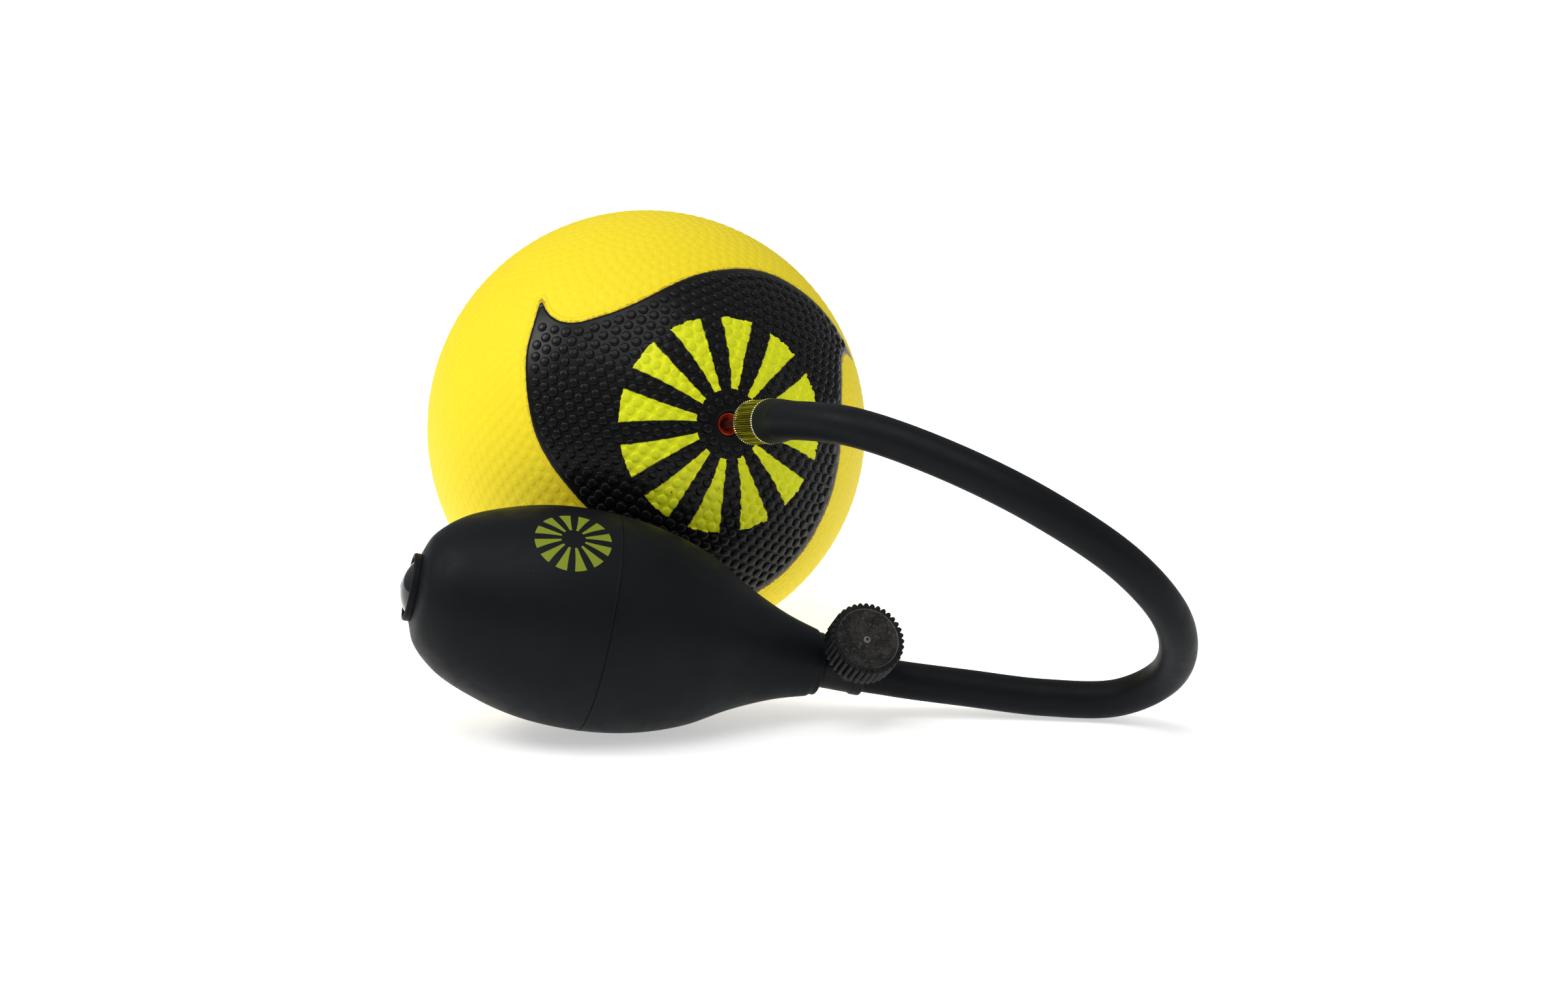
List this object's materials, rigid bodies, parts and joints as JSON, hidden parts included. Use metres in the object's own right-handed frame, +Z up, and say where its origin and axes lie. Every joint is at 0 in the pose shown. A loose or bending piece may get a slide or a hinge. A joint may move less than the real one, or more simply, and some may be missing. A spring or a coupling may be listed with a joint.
{
  "type": "inflatable pebbled ball with hand bulb pump",
  "caption": "Pebbled rubber inflatable ball with a pinwheel panel, joined by its needle to a squeeze-bulb hand pump with a hose, knurled brass connector and release valve.",
  "frame": {"origin": "middle of the ball's contact patch on the floor", "axes": "+Z up, -Y towards the side where the pump lies, +X towards the hose loop"},
  "size_m": [0.2097, 0.1946, 0.1265],
  "materials": {
    "ball_skin": "pebbled satin rubber, yellow with a black pinwheel panel",
    "valve_rubber": "red rubber",
    "plug_rubber": "soft dark red rubber",
    "needle_steel": "bright plated steel",
    "connector_brass": "knurled bright brass",
    "screw_brass": "turned brass",
    "hose_rubber": "matte black rubber",
    "bulb_rubber": "satin black rubber with a fine parting line",
    "valve_plastic": "moulded black",
    "knob_plastic": "moulded, slightly greyed black",
    "cap_plastic": "gloss black",
    "flap_rubber": "grey sheet rubber",
    "seal_rubber": "black seal rubber"
  },
  "bodies": {
    "ball": {"ball_skin": "ball_skin", "valve_housing": "valve_rubber", "valve_plug": "plug_rubber"},
    "pump_line": {"connector": "connector_brass", "hose": "hose_rubber", "release_body": "valve_plastic", "outlet_ring": "valve_plastic", "bulb": "bulb_rubber", "intake_body": "valve_plastic", "intake_cap": "cap_plastic", "intake_cage": "valve_plastic"},
    "needle_base": {"needle_washer": "seal_rubber"},
    "needle": {"needle": "needle_steel"},
    "release_seal": {"release_pad": "seal_rubber"},
    "release_knob": {"release_knob": "knob_plastic", "release_screw": "screw_brass", "screw_ring": "seal_rubber"},
    "intake_flap": {"intake_flap": "flap_rubber"},
    "outlet_flap": {"outlet_flap": "flap_rubber"}
  },
  "joints": [
    {"name": "needle_pull", "type": "slide", "parent": "ball", "child": "pump_line", "axis": [0.3978, -0.8936, 0.2079], "range_m": [0, 0.024]},
    {"name": "needle_back_off", "type": "slide", "parent": "pump_line", "child": "needle_base", "axis": [-0.3978, 0.8936, -0.2079], "range_m": [0, 0.0032]},
    {"name": "needle_turn", "type": "hinge", "parent": "needle_base", "child": "needle", "pos_m": [0.0322, -0.0724, 0.07984], "axis": [-0.3978, 0.8936, -0.2079], "range_deg": [0, 1440]},
    {"name": "release_lift", "type": "slide", "parent": "pump_line", "child": "release_seal", "axis": [0.2652, -0.7558, 0.5987], "range_m": [0, 0.0015]},
    {"name": "release_turn", "type": "hinge", "parent": "release_seal", "child": "release_knob", "pos_m": [0.05582, -0.07604, 0.01338], "axis": [0.2652, -0.7558, 0.5987], "range_deg": [0, 540]},
    {"name": "intake_flap_lift", "type": "slide", "parent": "pump_line", "child": "intake_flap", "axis": [0.9604, 0.1521, -0.2334], "range_m": [0, 0.001], "stiffness_N_per_m": 20, "springref_m": -0.0005},
    {"name": "outlet_flap_lift", "type": "slide", "parent": "pump_line", "child": "outlet_flap", "axis": [0.9604, 0.1521, -0.2334], "range_m": [0, 0.001], "stiffness_N_per_m": 20, "springref_m": -0.0005}
  ],
  "couplings": [
    {"joint": "needle_turn", "follows": "needle_back_off", "rad_per_m": 7854},
    {"joint": "release_turn", "follows": "release_lift", "rad_per_m": 6283.2}
  ]
}
